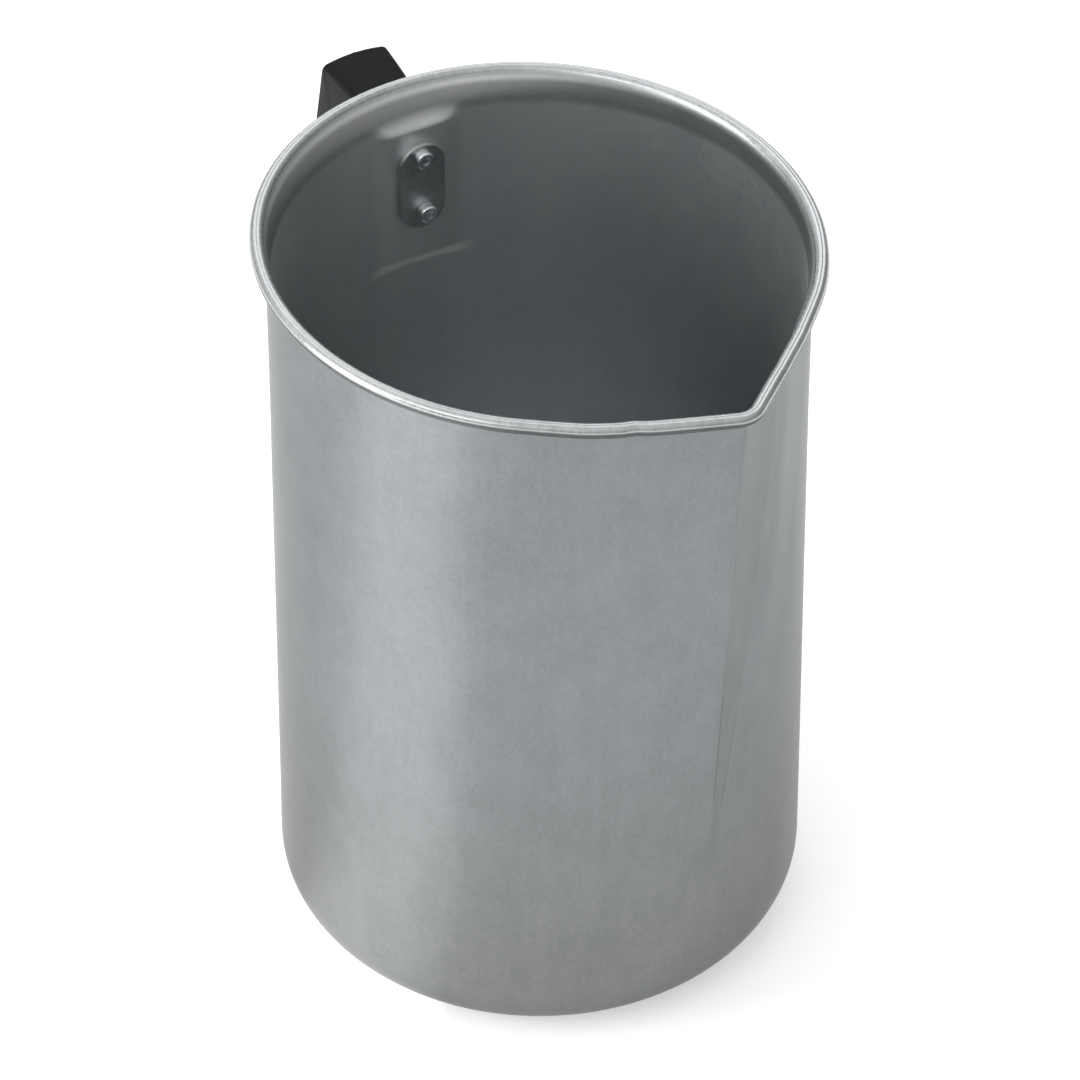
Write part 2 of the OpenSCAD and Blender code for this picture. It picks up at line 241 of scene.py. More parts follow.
def wall_heights(top):
    """Heights of the wall's rows above the corner, closer on the pad's slopes and on the neck."""
    neck_z = BEAD_Z - NECK_H
    zs = list(np.arange(CORNER_R + 4, neck_z, 4.0)) + list(np.arange(neck_z, top, 0.5))
    for middle, half in ((PAD_TOP, LEDGE_TOP), (PAD_BOTTOM, LEDGE_BOTTOM)):
        zs += list(np.linspace(middle - half, middle + half, 11))
    zs = sorted(z for z in zs if z < top - 0.2)
    return [float(z) for i, z in enumerate(zs) if i == 0 or z - zs[i - 1] > 0.12]


def wall_rows(inset, end_inset, top):
    """Rows of the wall, whose neck brings it from its inset to end_inset at the top."""
    out = (inset - end_inset) / neck(top)
    return [(inset - out * neck(z), z, z, neck(z)) for z in wall_heights(top)]


def corner_rows(inset):
    """Rows of the rounded corner between the base and the wall."""
    r, steps = CORNER_R - inset, 14
    rows = []
    for k in range(steps + 1):
        a = math.pi / 2 * k / steps
        rows.append((CORNER_R - r * math.sin(a), CORNER_R - r * math.cos(a), CORNER_R, 0.0))
    return rows


def disc_rows(z):
    """Rings of the flat floor or base, from near the centre outwards, as insets from the wall."""
    edge, count = BODY_R - CORNER_R, 6
    return [(BODY_R - edge * (k + 1) / (count + 1), z, CORNER_R, 0.0) for k in range(count)]


BEAD_STEPS = 66


def bead_rows():
    points = [bead_point(mix(BEAD_START, BEAD_END, k / BEAD_STEPS)) for k in range(BEAD_STEPS + 1)]
    return [(inset, z, BODY_H, 1.0) for inset, z in points]


def shell_rows():
    """The section's rows, as (inset from the outline, height, the outline's height, share of the neck)."""
    outer = disc_rows(0.0) + corner_rows(0.0) + wall_rows(0.0, *bead_point(BEAD_START))
    inner = wall_rows(SHEET, *bead_point(BEAD_END))[::-1] + corner_rows(SHEET)[::-1] + disc_rows(SHEET)[::-1]
    return outer, bead_rows(), inner


KINK_ANGLE = -9.4        # where the rim bends sharply into the spout's flank
KINK_DEPTH = 0.42
KINK_WIDTH = 1.7
HOLLOW_ANGLE = -14.0     # middle of the slight hollow of that flank
HOLLOW_DEPTH = 0.3
HOLLOW_WIDTH = 5.0
WAVE = 0.07              # height of the wall's slow unevenness
WAVE_TURNS = 2.2         # and how close its waves stand round the wall,
WAVE_LENGTH = 90.0       # and up it
RIM_PART = 26            # the kink and the hollow begin this far below the rim


def unevenness(a, z):
    """Slow waves of the drawn wall and the rim's small kink beside the spout, in millimetres inwards."""
    round_wall = [(WAVE_TURNS * math.cos(math.radians(t)), WAVE_TURNS * math.sin(math.radians(t))) for t in a]
    waves = np.array([noise.noise(Vector((x, y, z / WAVE_LENGTH))) for x, y in round_wall])
    fade = float(ease((z - CORNER_R) / 20.0))
    rim = float(ease((z - (BODY_H - RIM_PART)) / 24.0))
    kink = KINK_DEPTH * rim * np.exp(-((a - 360 - KINK_ANGLE) / KINK_WIDTH) ** 2)
    hollow = HOLLOW_DEPTH * rim * np.exp(-((a - 360 - HOLLOW_ANGLE) / HOLLOW_WIDTH) ** 2)
    return WAVE * fade * waves + kink + hollow


PAD_REACH = 14           # degrees from the handle within which the pad stays free of the unevenness


def build_shell():
    """The vessel, with the number of its columns and the first rows of its bead and of its inside."""
    a = directions()
    outer, bead, inner = shell_rows()
    rows = outer + bead + inner
    points = []
    for inset, z, outline_z, share_of_neck in rows:
        r = radius_at(a, outline_z, inset, share_of_neck)
        if z > CORNER_R:
            on_pad = pad_share(z) * (np.abs(a - HANDLE_ANGLE) < PAD_REACH)
            r = r - unevenness(a, z) * (1 - 0.999 * on_pad)
        points += list(zip(r * cos_deg(a), r * np.sin(np.radians(a)), np.full(len(a), z)))
    cols = len(a)
    faces = ring_faces(len(rows), cols)
    base, floor = len(points), len(points) + 1
    points += [(0, 0, 0), (0, 0, SHEET)]
    last = (len(rows) - 1) * cols
    faces += [(base, (j + 1) % cols, j) for j in range(cols)]
    faces += [(floor, last + j, last + (j + 1) % cols) for j in range(cols)]
    shell = new_object("pot_shell_visual", points, faces, smooth_angle=50)
    return shell, cols, len(outer), len(outer) + len(bead)


# ---------------------------------------------------------------------------------------------
# Material helpers
# ---------------------------------------------------------------------------------------------
class Nodes:
    """A small builder for a node material."""

    def __init__(self, name):
        self.material = bpy.data.materials.new(name)
        self.material.use_nodes = True
        self.tree = self.material.node_tree
        self.shader = self.tree.nodes["Principled BSDF"]

    def add(self, kind, **values):
        node = self.tree.nodes.new(kind)
        for key, value in values.items():
            if hasattr(node, key):
                setattr(node, key, value)
            else:
                node.inputs[key.replace("_", " ")].default_value = value
        return node

    def link(self, source, target):
        self.tree.links.new(source, target)

    def position(self, scale):
        coords = self.add("ShaderNodeTexCoord")
        mapping = self.add("ShaderNodeMapping")
        mapping.inputs["Scale"].default_value = scale
        self.link(coords.outputs["Object"], mapping.inputs["Vector"])
        return mapping.outputs["Vector"]

    def noise(self, scale, stretch=(1, 1, 1), detail=4.0, roughness=0.55, distortion=0.0):
        node = self.add("ShaderNodeTexNoise")
        node.inputs["Scale"].default_value = scale
        node.inputs["Detail"].default_value = detail
        node.inputs["Roughness"].default_value = roughness
        node.inputs["Distortion"].default_value = distortion
        self.link(self.position(stretch), node.inputs["Vector"])
        return node.outputs["Fac"]

    def ramp(self, value, stops):
        node = self.add("ShaderNodeValToRGB")
        elements = node.color_ramp.elements
        while len(elements) < len(stops):
            elements.new(0.5)
        for element, (at, colour) in zip(elements, stops):
            element.position = at
            element.color = (*colour, 1.0)
        self.link(value, node.inputs["Fac"])
        return node.outputs["Color"]

    def remap(self, value, low, high, to_low, to_high):
        node = self.add("ShaderNodeMapRange")
        for key, v in (("From Min", low), ("From Max", high), ("To Min", to_low), ("To Max", to_high)):
            node.inputs[key].default_value = v
        self.link(value, node.inputs["Value"])
        return node.outputs["Result"]

    def along(self, direction):
        """Distance along a direction from the object's origin."""
        node = self.add("ShaderNodeVectorMath", operation="DOT_PRODUCT")
        node.inputs[1].default_value = direction
        self.link(self.position((1, 1, 1)), node.inputs[0])
        return node.outputs["Value"]

    def smooth(self, value, low, high):
        """0 at low and 1 at high, with a soft start and end."""
        node = self.add("ShaderNodeMapRange", interpolation_type="SMOOTHSTEP")
        node.inputs["From Min"].default_value = low
        node.inputs["From Max"].default_value = high
        self.link(value, node.inputs["Value"])
        return node.outputs["Result"]

    def math(self, operation, a, b=None):
        node = self.add("ShaderNodeMath", operation=operation)
        for i, v in enumerate((a, b)):
            if v is None:
                continue
            if isinstance(v, (int, float)):
                node.inputs[i].default_value = v
            else:
                self.link(v, node.inputs[i])
        return node.outputs["Value"]

    def mix_colour(self, factor, a, b, blend="MIX"):
        node = self.add("ShaderNodeMix", data_type="RGBA", blend_type=blend)
        for name, v in (("Factor_Float", factor), ("A_Color", a), ("B_Color", b)):
            socket = next(s for s in node.inputs if s.identifier == name)
            if isinstance(v, (int, float)):
                socket.default_value = v
            elif isinstance(v, tuple):
                socket.default_value = (*v, 1.0)
            else:
                self.link(v, socket)
        return next(s for s in node.outputs if s.identifier == "Result_Color")

    def bump(self, height, strength, distance_mm, normal=None):
        node = self.add("ShaderNodeBump")
        node.inputs["Strength"].default_value = strength
        node.inputs["Distance"].default_value = distance_mm * MM
        self.link(height, node.inputs["Height"])
        if normal is not None:
            self.link(normal, node.inputs["Normal"])
        return node.outputs["Normal"]

    def set(self, **values):
        for key, value in values.items():
            self.shader.inputs[key.replace("_", " ")].default_value = value


RIDGE_LINE = 1.3         # degrees from the spout's direction to the pressed line along its ridge
FLANK_END = 4.65         # the same to the line where its flat flank ends, at FLANK_Z ...
FLANK_Z = 71.0
FLANK_SLOPE = 0.098      # ... and how many degrees that line moves in a millimetre of height
RIDGE_HALF_W = 0.45      # half the width of each line, in degrees
FLANK_HALF_W = 0.55
LINE_CORE = 0.05         # each line is full within this
CREASE_SHADE_TOP = 198.0        # the painted crease shade ends here, below the bead


def crease_shade(n, colour):
    """Painted shade along the spout's pressed creases: two thin darker lines on the wall, and a slightly
    darker, greener strip between them.
    """
    around = n.math("MULTIPLY", n.math("ARCTAN2", n.along((0, 1, 0)), n.along((1, 0, 0))), 180 / math.pi)
    off = n.math("SUBTRACT", around, SPOUT_ANGLE)
    height = n.math("DIVIDE", n.along((0, 0, 1)), MM)
    flank = n.math("ADD", n.math("MULTIPLY", n.math("SUBTRACT", height, FLANK_Z), FLANK_SLOPE), FLANK_END)
    past_flank = n.math("SUBTRACT", off, flank)
    shown = n.math("MULTIPLY", n.smooth(height, FOLD_START, FOLD_START + 25),
                   n.math("SUBTRACT", 1.0, n.smooth(height, CREASE_SHADE_TOP - 6, CREASE_SHADE_TOP)))
    strip = n.math("MULTIPLY", n.smooth(off, RIDGE_LINE - 0.2, RIDGE_LINE + 0.3),
                   n.math("SUBTRACT", 1.0, n.smooth(past_flank, -1.2, 0.2)))
    broken = n.smooth(n.noise(130.0, (1, 1, 0.35), detail=3.0), 0.36, 0.6)
    ridge_line = n.smooth(n.math("ABSOLUTE", n.math("SUBTRACT", off, RIDGE_LINE)),
                          RIDGE_HALF_W, LINE_CORE)
    flank_line = n.smooth(n.math("ABSOLUTE", past_flank), FLANK_HALF_W, LINE_CORE)
    # Painted shade: the strip and the two lines multiply the colour darker.
    for share, tint in ((strip, (0.90, 0.93, 0.88)),
                        (n.math("MULTIPLY", ridge_line, broken), (0.66, 0.67, 0.64)),
                        (n.math("MULTIPLY", flank_line, broken), (0.78, 0.79, 0.76))):
        share = n.math("MULTIPLY", share, shown)
        colour = n.mix_colour(share, colour, n.mix_colour(1.0, colour, tint, blend="MULTIPLY"))
    return colour


UP = (0, 0, 1)
TO_HANDLE = (-1, 0, 0)
EDGE_TINT = (0.75, 0.75, 0.75, 1.0)      # the sheet reflects less than bright metal at a grazing angle


def tinted(n, colour, tint, fades):
    """The colour times a tint. Each fade is (direction, where there is none, where it is full), in mm."""
    share = 1.0
    for direction, none, full in fades:
        share = n.math("MULTIPLY", share, n.smooth(n.along(direction), none * MM, full * MM))
    return n.mix_colour(share, colour, n.mix_colour(1.0, colour, tint, blend="MULTIPLY"))


def sheet_metal(name, dark, light, rough_low, rough_high, streak, tints, shade_creases=False):
    """Satin drawn sheet: sandy mottling, cloudy patches and faint marks of the drawing, which run upright.

    Each tint is (colour, fades), as tinted takes them; the tints paint light and shade. Fades are places on
    the pot, the same in every view. With shade_creases, thin painted shade lines run along the spout's pressed
    creases.
    """
    n = Nodes(name)
    clouds = n.noise(14.0, (1, 1, 0.6), detail=3.0)
    mottle = n.noise(90.0, (1, 1, 0.8), detail=5.0, roughness=0.7)
    sand = n.noise(900.0, (1, 1, 0.7), detail=3.0, roughness=0.7)
    lines = n.noise(420.0, (1, 1, streak), detail=2.0)
    tone = n.math("ADD", n.math("ADD", n.math("MULTIPLY", clouds, 0.3), n.math("MULTIPLY", mottle, 0.3)),
                  n.math("ADD", n.math("MULTIPLY", sand, 0.32), n.math("MULTIPLY", lines, 0.08)))
    colour = n.ramp(tone, ((0.38, dark), (0.62, light)))
    if shade_creases:
        colour = crease_shade(n, colour)
    for tint, fades in tints:
        colour = tinted(n, colour, tint, fades)
    n.link(colour, n.shader.inputs["Base Color"])
    rough = n.math("ADD", n.math("MULTIPLY", clouds, 0.6), n.math("MULTIPLY", sand, 0.4))
    n.link(n.remap(rough, 0.35, 0.65, rough_low, rough_high), n.shader.inputs["Roughness"])
    normal = n.bump(sand, 0.25, 0.02)
    normal = n.bump(lines, 0.06, 0.02, normal)
    n.link(normal, n.shader.inputs["Normal"])
    n.set(Metallic=1.0)
    n.shader.inputs["Specular Tint"].default_value = EDGE_TINT
    return n.material


# Colour of the painted shade on the rolled bead's underside, where it turns down into the wall.
BEAD_UNDERSIDE_SHADE = (0.22, 0.22, 0.22)


def bright_metal(name, dark, light, rough_low, rough_high, scale=500.0, shade_below=None):
    """Small metal parts and the rolled rim: brighter, with fine scuffs, and with painted shade below a height
    if given.
    """
    n = Nodes(name)
    scuffs = n.noise(scale, (1, 1, 1), detail=5.0, roughness=0.65)
    patches = n.noise(scale / 12, (1, 1, 1), detail=2.0)
    tone = n.math("ADD", n.math("MULTIPLY", scuffs, 0.6), n.math("MULTIPLY", patches, 0.4))
    colour = n.ramp(tone, ((0.35, dark), (0.62, light)))
    if shade_below is not None:
        height = n.math("DIVIDE", n.along((0, 0, 1)), MM)
        unshaded = n.smooth(height, shade_below - 0.3, shade_below + 0.3)
        colour = n.mix_colour(unshaded, n.mix_colour(1.0, colour, BEAD_UNDERSIDE_SHADE, blend="MULTIPLY"), colour)
    n.link(colour, n.shader.inputs["Base Color"])
    n.link(n.remap(tone, 0.35, 0.65, rough_low, rough_high), n.shader.inputs["Roughness"])
    n.link(n.bump(scuffs, 0.2, 0.02), n.shader.inputs["Normal"])
    n.set(Metallic=1.0)
    return n.material


def phenolic(name):
    """Black moulded phenolic: a satin skin with very fine grain and flow marks."""
    n = Nodes(name)
    grain = n.noise(1400.0, (1, 1, 1), detail=3.0, roughness=0.7)
    flow = n.noise(60.0, (1, 1, 0.5), detail=4.0, distortion=0.6)
    tone = n.math("ADD", n.math("MULTIPLY", flow, 0.6), n.math("MULTIPLY", grain, 0.4))
    n.link(n.ramp(tone, ((0.35, (0.0034, 0.0045, 0.0052)), (0.68, (0.0068, 0.0086, 0.0098)))),
           n.shader.inputs["Base Color"])
    n.link(n.remap(tone, 0.35, 0.65, 0.44, 0.56), n.shader.inputs["Roughness"])
    n.link(n.bump(grain, 0.12, 0.02), n.shader.inputs["Normal"])
    n.set(Metallic=0.0, Specular_IOR_Level=0.10)
    return n.material


GLOW_AZIMUTH = -79.8     # the middle of the floor's brighter sector
GLOW_LOW, GLOW_HIGH = 0.42, 1.08


def floor_material():
    """Pale floor that glows a little, more in one sector, whose reflection is the wall's soft highlight."""
    n = Nodes("pale_floor")
    clouds = n.noise(3.0, (1, 1, 1), detail=2.0)
    n.link(n.ramp(clouds, ((0.3, (0.80, 0.80, 0.80)), (0.7, (0.83, 0.83, 0.83)))),
           n.shader.inputs["Base Color"])
    n.set(Roughness=0.9)
    n.shader.inputs["Emission Color"].default_value = (1.0, 1.0, 1.0, 1.0)
    unit = n.add("ShaderNodeVectorMath", operation="NORMALIZE")
    n.link(n.position((1, 1, 0)), unit.inputs[0])
    facing = n.add("ShaderNodeVectorMath", operation="DOT_PRODUCT")
    a = math.radians(GLOW_AZIMUTH)
    facing.inputs[1].default_value = (math.cos(a), math.sin(a), 0.0)
    n.link(unit.outputs["Vector"], facing.inputs[0])
    sector = n.smooth(facing.outputs["Value"], 0.86, 0.995)
    n.link(n.remap(sector, 0.0, 1.0, GLOW_LOW, GLOW_HIGH), n.shader.inputs["Emission Strength"])
    return n.material


# ---------------------------------------------------------------------------------------------
# Grip
# ---------------------------------------------------------------------------------------------
# Distances out from the pot's axis end in _X, and drops below the rim in _DROP.
ROOT_X = 78.2            # the grip's end face at the pot
ROOT_DROP = 42.0         # and that face's lower end
GRIP_TOP_DROP = 10.7
GRIP_END_DROP = 130.0
TOP_CORNER_R = 1.5
TOP_X = 99.27
HOLD_X = 108.0           # the back, about half way down
FINGER_X = 93.5          # the side towards the pot
GRIP_W = 14.6            # width at the root, at the top corner and where the hand holds it
GRIP_W_TOP = 17.9
GRIP_W_HOLD = 19.0
EDGE_R = 1.4
CROWN = 1.0              # how much lower the back is at its edges than in the middle
END_R = 4.5

BACK_CURVE = ((TOP_X, GRIP_TOP_DROP + TOP_CORNER_R), (TOP_X + 4, GRIP_TOP_DROP + 23),
              (HOLD_X + 5, GRIP_END_DROP * 0.55), (HOLD_X - 6.5, GRIP_END_DROP - 6))
FINGER_UPPER = ((ROOT_X, ROOT_DROP), (ROOT_X + 9, ROOT_DROP + 1), (FINGER_X - 1, ROOT_DROP + 9),
                (FINGER_X, ROOT_DROP + 25))
FINGER_LOWER = ((FINGER_X, ROOT_DROP + 25), (FINGER_X + 0.8, ROOT_DROP + 42),
                (FINGER_X - 0.5, GRIP_END_DROP - 26), (FINGER_X - 5.5, GRIP_END_DROP - 5))


def bezier(points, t):
    p = [np.array(q, float) for q in points]
    s = 1 - t
    return s ** 3 * p[0] + 3 * s * s * t * p[1] + 3 * s * t * t * p[2] + t ** 3 * p[3]


TOP_END = 0.2            # share of the grip's stations along its top face,
CORNER_END = 0.32        # and to the end of the rounded corner that follows


def back_at(u):
    """The back's [distance from the axis, drop] at u, from 0 at the root to 1 at the far end."""
    if u < TOP_END:
        return np.array([mix(ROOT_X, TOP_X - TOP_CORNER_R, u / TOP_END), GRIP_TOP_DROP])
    if u < CORNER_END:
        a = math.radians(90 * (u - TOP_END) / (CORNER_END - TOP_END))
        return np.array([TOP_X - TOP_CORNER_R + TOP_CORNER_R * math.sin(a),
                         GRIP_TOP_DROP + TOP_CORNER_R * (1 - math.cos(a))])
    return bezier(BACK_CURVE, (u - CORNER_END) / (1 - CORNER_END))


def finger_at(u):
    """The same for the side towards the pot."""
    if u < 0.5:
        return bezier(FINGER_UPPER, u / 0.5)
    return bezier(FINGER_LOWER, (u - 0.5) / 0.5)


PARTING_RIDGE = 0.12     # height and half width of the mould's parting line down the back
PARTING_HALF_W = 0.35
FACE_STEPS = (-0.8, -0.6, -0.4, -0.2, -0.1, -0.05, -0.025, 0.0, 0.025, 0.05, 0.1, 0.2, 0.4, 0.6, 0.8)
CORNER_STEPS = 8


def rounded_loop(a, b, r):
    """Rounded rectangle of half sizes a by b. Its faces at -a and a are crowned and have a parting ridge."""
    loop = []
    for q, (sx, sy) in enumerate(((1, 1), (-1, 1), (-1, -1), (1, -1))):
        for k in range(CORNER_STEPS + 1):
            t = math.radians(90 * q + 90 * k / CORNER_STEPS)
            loop.append((sx * (a - r) + r * math.cos(t), sy * (b - r) + r * math.sin(t)))
        across = sy * (b - r)
        if q in (1, 3):
            loop += [(sx * a, -across * s if q == 1 else across * -s) for s in FACE_STEPS]
        else:
            loop += [(-sx * s * (a - r), sy * b) for s in (-0.6, -0.2, 0.2, 0.6)]
    shaped = []
    for x, y in loop:
        ridge = 1 - math.exp(-(y / PARTING_HALF_W) ** 2)
        shaped.append((x * (1 - (CROWN * (y / b) ** 2 + PARTING_RIDGE * ridge) / a), y))
    return shaped


def width_at(u):
    top_u, hold_u = 0.3, 0.7
    if u < top_u:
        return mix(GRIP_W, GRIP_W_TOP, 1 - (1 - u / top_u) ** 2)
    return mix(GRIP_W_TOP, GRIP_W_HOLD, float(ease((u - top_u) / (hold_u - top_u))))


def grip_ring(u, inset, ahead):
    """The section's loop at u, made smaller by inset and moved ahead along the grip."""
    back, finger = back_at(u), finger_at(u)
    span = float(np.linalg.norm(back - finger))
    out = (back - finger) / span
    centre = (back + finger) / 2 + np.array([-out[1], out[0]]) * ahead
    edge = max(0.3, EDGE_R - inset)
    ring = []
    for p in rounded_loop(span / 2 - inset, width_at(u) / 2 - inset, edge):
        q = centre + out * p[0]
        ring.append((-q[0], p[1], BODY_H - q[1]))
    return ring


def build_grip():
    stations = 110
    rings = [grip_ring(i / stations, 0.0, 0.0) for i in range(stations + 1)]
    end_steps = 10
    for k in range(1, end_steps + 1):
        a = math.radians(90 * k / end_steps)
        rings.append(grip_ring(1.0, END_R * (1 - math.cos(a)), END_R * math.sin(a)))
    cols = len(rings[0])
    points = [p for ring in rings for p in ring]
    faces = ring_faces(len(rings), cols)
    faces.append(tuple(range(cols - 1, -1, -1)))
    last = (len(rings) - 1) * cols
    faces.append(tuple(last + j for j in range(cols)))
    return new_object("handle_grip_visual", points, faces, smooth_angle=45)


# ---------------------------------------------------------------------------------------------
# Backing plate and rivets
# ---------------------------------------------------------------------------------------------
def lathe_x(name, profile, x0, y0, z0):
    """Turns [radius, distance along +X from x0] rows about an axis along X through y0 and z0."""
    points, rows, steps = [], len(profile), 64
    for r, x in profile:
        for j in range(steps):
            t = 2 * math.pi * j / steps
            points.append((x0 + x, y0 + r * math.cos(t), z0 + r * math.sin(t)))
    faces = ring_faces(rows, steps)
    first, last = len(points), len(points) + 1
    points += [(x0 + profile[0][1], y0, z0), (x0 + profile[-1][1], y0, z0)]
    faces += [(first, (j + 1) % steps, j) for j in range(steps)]
    tail = (rows - 1) * steps
    faces += [(last, tail + j, tail + (j + 1) % steps) for j in range(steps)]
    return new_object(name, points, faces, smooth_angle=45)


def arc(cx, cy, r, start, end, steps):
    return [(cx + r * math.cos(math.radians(mix(start, end, k / steps))),
             cy + r * math.sin(math.radians(mix(start, end, k / steps)))) for k in range(steps + 1)]


BRACKET_SHEET = 1.5


def build_rivet(node):
    """A rivet: domed head outside, and a peened, dimpled end inside the pot."""
    head_r, head_h, shank_r, peen_r, peen_h = 3.2, 1.7, 1.6, 2.4, 2.7
    stack = BRACKET_SHEET + SHEET + plate_high.x - plate_low.x
    profile = [(max(0.02, head_r * math.sin(math.radians(9 * k))),
                -stack - head_h * math.cos(math.radians(9 * k))) for k in range(0, 10)]
    profile += [(head_r, -stack - 0.02), (head_r - 0.25, -stack), (shank_r, -stack), (shank_r, 0.0)]
    profile += [(peen_r - 0.15, 0.0)]
    profile += arc(peen_r - 0.2, 0.25, 0.2, -60, 0, 4)
    profile += arc(peen_r - 0.5, peen_h - 0.5, 0.5, 0, 78, 8)
    profile += [(1.3, peen_h - 0.02), (1.1, peen_h - 0.08), (0.8, peen_h - 0.2), (0.4, peen_h - 0.26)]
    profile += [(0.05, peen_h - 0.27)]
    middle = rivet_middles[node]
    return lathe_x(node + "_visual", profile, plate_high.x, middle.y, middle.z)


def build_plate():
    """Oblong backing plate with round ends and a rolled edge towards the inside of the pot."""
    width, height = plate_high.y - plate_low.y, plate_high.z - plate_low.z
    thick = plate_high.x - plate_low.x
    middle_z = (plate_high.z + plate_low.z) / 2
    roll = 0.55
    rows = [(0.0, 0.0)]
    for k in range(0, 9):
        a = math.radians(90 * k / 8)
        rows.append((roll * (1 - math.cos(a)), thick - roll + roll * math.sin(a)))
    rows += [(roll + 1.2, thick), (roll + 3.0, thick)]
    points, steps = [], 24
    for inset, x in rows:
        r = width / 2 - inset
        straight = (height - width) / 2
        for side in (1, -1):
            for k in range(steps + 1):
                t = math.radians(180 * k / steps + (0 if side > 0 else 180))
                across, up = r * math.cos(t), side * straight + r * math.sin(t)
                points.append((plate_low.x + x, across, middle_z + up))
    cols = 2 * (steps + 1)
    faces = ring_faces(len(rows), cols)
    faces.append(tuple(range(cols - 1, -1, -1)))
    tail = (len(rows) - 1) * cols
    faces.append(tuple(tail + j for j in range(cols)))
    return new_object("rivet_plate_visual", points, faces, smooth_angle=45)


# ---------------------------------------------------------------------------------------------
# Put the object together
# ---------------------------------------------------------------------------------------------
# Tints of the sheet, chosen for the photographed tones; they are painted light and shade. All but the last are
# the same all the way round.
# Painted shade: the outside darkens and warms from 120 mm down to 20 mm.
FOOT_SHADE = ((0.92, 0.895, 0.88), ((UP, 120, 20),))
# Painted light: the inside is lighter from 130 mm up to 200 mm, where more light falls in from above.
TOP_LIGHT_INSIDE = ((1.18, 1.17, 1.15), ((UP, 130, 200),))
# Painted shade: a darker band on the inside just under the bead, from 195 mm up to the bead.
NECK_SHADE = ((0.56, 0.56, 0.56), ((UP, 195, 198), (UP, 202.8, 201.4)))
# Painted reflection: the ledge under the pad, on the handle's side, is lighter.
LEDGE_REFLECTION = ((1.4, 1.38, 1.3), ((TO_HANDLE, 62.4, 63.4), (UP, 151.4, 152.4), (UP, 155, 154)))

# Both materials are the one aluminium sheet: the outside's colours are darkened as painted shade, and the
# inside's lightened as painted light.
outside_metal = sheet_metal("drawn_aluminium", (0.19, 0.203, 0.208), (0.25, 0.264, 0.27), 0.28, 0.38, 0.05,
                            (FOOT_SHADE,), shade_creases=True)
inside_metal = sheet_metal("drawn_aluminium_inside", (0.55, 0.585, 0.615), (0.64, 0.66, 0.65), 0.40, 0.50,
                           0.04, (TOP_LIGHT_INSIDE, NECK_SHADE, LEDGE_REFLECTION))
# The rim's bead gets painted shade below its middle.
rim_metal = bright_metal("rolled_rim", (0.37, 0.385, 0.39), (0.49, 0.505, 0.51), 0.22, 0.36, 700.0,
                         shade_below=BEAD_Z + 0.3)
plate_metal = bright_metal("plate_metal", (0.36, 0.375, 0.38), (0.46, 0.475, 0.48), 0.38, 0.5)
rivet_metal = bright_metal("rivet_metal", (0.62, 0.63, 0.64), (0.80, 0.81, 0.82), 0.22, 0.36)
bracket_metal = bright_metal("bracket_metal", (0.42, 0.43, 0.44), (0.55, 0.56, 0.57), 0.3, 0.42, 300.0)
fastener_metal = bright_metal("fastener_metal", (0.55, 0.55, 0.54), (0.72, 0.72, 0.70), 0.22, 0.36)
grip_black = phenolic("black_phenolic")


def dress(piece, material, slot, *nodes):
    piece.data.materials.append(material)
    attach(piece, "root")
    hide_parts(*nodes)


INNER_SIDE_ROWS = 3      # how many of the bead's last rows have the inside's looks
OUTSIDE, RIM, INSIDE = range(3)

shell, cols, bead_row, inner_row = build_shell()
dress(shell, outside_metal, "vessel", "pot_shell")
shell.data.materials.append(rim_metal)
shell.data.materials.append(inside_metal)
for polygon in shell.data.polygons:
    row = min(polygon.vertices) // cols
    if row >= inner_row - INNER_SIDE_ROWS:
        polygon.material_index = INSIDE
    elif row >= bead_row - 1:
        polygon.material_index = RIM
    else:
        polygon.material_index = OUTSIDE

dress(build_plate(), plate_metal, "backing_plate", "rivet_plate")
for node in ("rivet_upper", "rivet_lower"):
    dress(build_rivet(node), rivet_metal, "rivets", node)
dress(build_grip(), grip_black, "grip", "handle_grip")
dress(softened("handle_bracket", 0.3), bracket_metal, "bracket", "handle_bracket")
dress(softened("handle_screw", 0.12), fastener_metal, "fasteners", "handle_screw")
dress(softened("handle_washer", 0.12), fastener_metal, "fasteners", "handle_washer")
dress(softened("handle_nut", 0.25), fastener_metal, "fasteners", "handle_nut")


# ---------------------------------------------------------------------------------------------
# Stage: floor, light and camera
# ---------------------------------------------------------------------------------------------
FLOOR_SIZE = 6.0         # in metres
FLOOR_DROP = 0.0002      # keeps the floor clear of the pot's base


def add_floor():
    mesh = bpy.data.meshes.new("floor")
    h = FLOOR_SIZE / 2
    mesh.from_pydata([(-h, -h, 0), (h, -h, 0), (h, h, 0), (-h, h, 0)], [], [(0, 1, 2, 3)])
    floor = bpy.data.objects.new("floor", mesh)
    bpy.context.scene.collection.objects.link(floor)
    mesh.materials.append(floor_material())
    floor.location.z = -FLOOR_DROP


TARGET = Vector((0, 0, 0.1))             # the softboxes face this point
SOFTBOXES = (                            # azimuth, elevation, distance, size, watts; metres and degrees
    ("key_left", -102.8, 15, 1.5, (0.5, 1.0), 12),
    ("back_top", 152.2, 46, 1.8, (1.5, 1.0), 5),
    ("front_top", -67.8, 38, 2.7, (1.2, 0.8), 6),
)


def add_softbox(name, azimuth, elevation, distance, size, power):
    """A soft white area light that faces the pot. Azimuth is in degrees from +X towards +Y."""
    light = bpy.data.lights.new(name, "AREA")
    light.shape = "RECTANGLE"
    light.size, light.size_y = size
    light.energy = power
    obj = bpy.data.objects.new(name, light)
    bpy.context.scene.collection.objects.link(obj)
    a, e = math.radians(azimuth), math.radians(elevation)
    place = TARGET + distance * Vector((math.cos(e) * math.cos(a), math.cos(e) * math.sin(a), math.sin(e)))
    obj.location = place
    obj.rotation_euler = (TARGET - place).to_track_quat("-Z", "Y").to_euler()


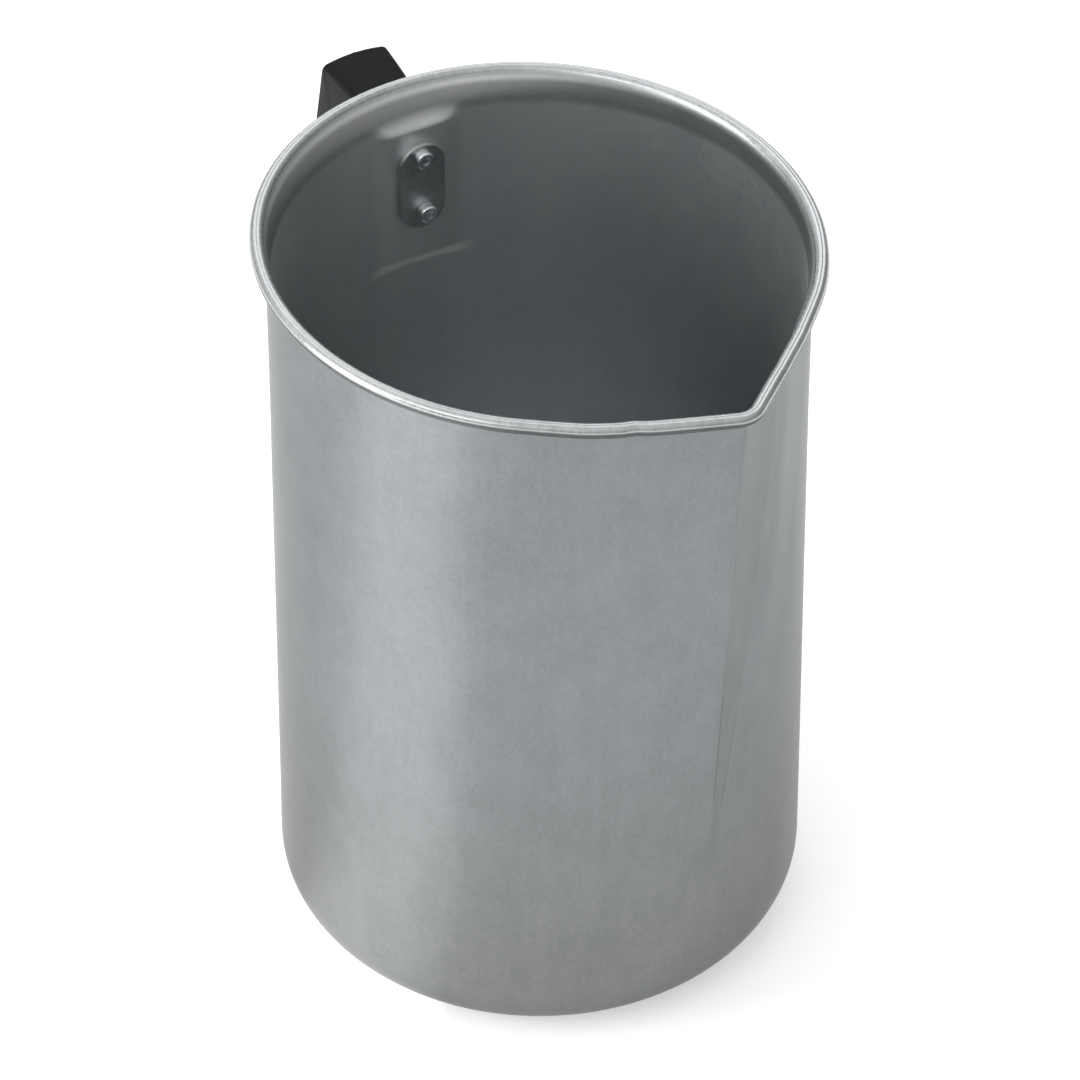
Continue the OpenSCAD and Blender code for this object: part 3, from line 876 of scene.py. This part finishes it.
DOME_HORIZON, DOME_ZENITH = 0.4, 1.0     # the dome's strength at the horizon and from DOME_TOP upwards
DOME_TOP = 0.7                           # as the sine of the elevation
DOME_SIDE_AZIMUTH = -117.8               # the side on which the dome is brighter,
DOME_SIDE_GAIN = 0.5                     # and by how much, as a share


def add_world():
    """A white studio dome: dimmer at the horizon than overhead, and brighter on one side."""
    world = bpy.data.worlds.new("studio")
    world.use_nodes = True
    tree = world.node_tree
    background = tree.nodes["Background"]
    background.inputs["Color"].default_value = (1, 1, 1, 1)
    coords = tree.nodes.new("ShaderNodeTexCoord")
    parts = tree.nodes.new("ShaderNodeSeparateXYZ")
    tree.links.new(coords.outputs["Generated"], parts.inputs[0])
    height = tree.nodes.new("ShaderNodeMapRange")
    height.inputs["From Min"].default_value = 0.0
    height.inputs["From Max"].default_value = DOME_TOP
    height.inputs["To Min"].default_value = DOME_HORIZON
    height.inputs["To Max"].default_value = DOME_ZENITH
    tree.links.new(parts.outputs["Z"], height.inputs["Value"])
    side = tree.nodes.new("ShaderNodeVectorMath")
    side.operation = "DOT_PRODUCT"
    a = math.radians(DOME_SIDE_AZIMUTH)
    side.inputs[1].default_value = (math.cos(a), math.sin(a), 0.0)
    tree.links.new(coords.outputs["Generated"], side.inputs[0])
    gain = tree.nodes.new("ShaderNodeMath")
    gain.operation = "MULTIPLY_ADD"
    gain.inputs[1].default_value = DOME_SIDE_GAIN
    gain.inputs[2].default_value = 1.0
    tree.links.new(side.outputs["Value"], gain.inputs[0])
    strength = tree.nodes.new("ShaderNodeMath")
    strength.operation = "MULTIPLY"
    tree.links.new(height.outputs["Result"], strength.inputs[0])
    tree.links.new(gain.outputs["Value"], strength.inputs[1])
    tree.links.new(strength.outputs["Value"], background.inputs["Strength"])
    bpy.context.scene.world = world


CAMERA_AZIMUTH = -27.8
CAMERA_OUT = 1.5787      # metres from the pot's axis
CAMERA_UP = 1.4999
CAMERA_PITCH = 41.37     # degrees below the horizon
CAMERA_YAW = 0.005
CAMERA_LENS = 283.9667   # millimetres, on a sensor 36 mm wide


def add_camera():
    data = bpy.data.cameras.new("camera")
    data.sensor_width = 36.0
    data.lens = CAMERA_LENS
    data.clip_end = 50.0
    camera = bpy.data.objects.new("camera", data)
    bpy.context.scene.collection.objects.link(camera)
    a = math.radians(CAMERA_AZIMUTH)
    camera.location = (CAMERA_OUT * math.cos(a), CAMERA_OUT * math.sin(a), CAMERA_UP)
    camera.rotation_euler = (math.radians(90 - CAMERA_PITCH), 0.0,
                             math.radians(CAMERA_AZIMUTH + 90 - CAMERA_YAW))
    bpy.context.scene.camera = camera


add_floor()
add_world()
for softbox in SOFTBOXES:
    add_softbox(*softbox)
add_camera()
bpy.context.scene.view_settings.view_transform = "Standard"
